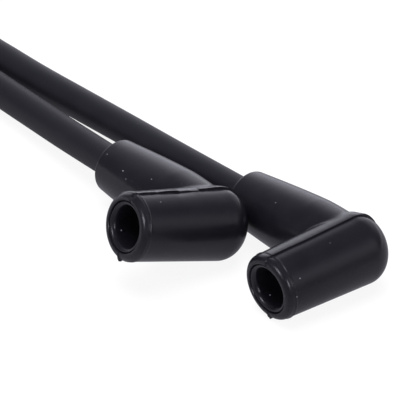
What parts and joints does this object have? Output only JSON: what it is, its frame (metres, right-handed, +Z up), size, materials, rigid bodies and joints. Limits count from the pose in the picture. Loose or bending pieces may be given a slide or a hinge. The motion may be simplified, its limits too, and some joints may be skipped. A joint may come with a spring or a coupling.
{
  "type": "spark plug wire",
  "caption": "Ignition lead: thick round cable with a moulded right-angle rubber boot and a snap terminal on each end, lying folded back on itself.",
  "frame": {"origin": "on the table that the lead lies on, at the bottom centre of the box round its two boots", "axes": "+Y from the boots along the cable to its loop, +Z up, and +X across, from the boots' mouths to their domed ends"},
  "size_m": [0.0917, 0.2558, 0.0254],
  "materials": {
    "boot_rubber": "satin black moulded rubber with flash and dust specks",
    "cable_rubber": "smooth satin bluish black jacket",
    "terminal_metal": "plated sheet metal",
    "conductor": "dark carbon strand"
  },
  "bodies": {
    "root": {"plug_boot": "boot_rubber", "coil_boot": "boot_rubber", "plug_terminal": "terminal_metal", "coil_terminal": "terminal_metal", "plug_conductor_end": "conductor", "coil_conductor_end": "conductor", "ignition_cable": "cable_rubber"}
  },
  "joints": []
}
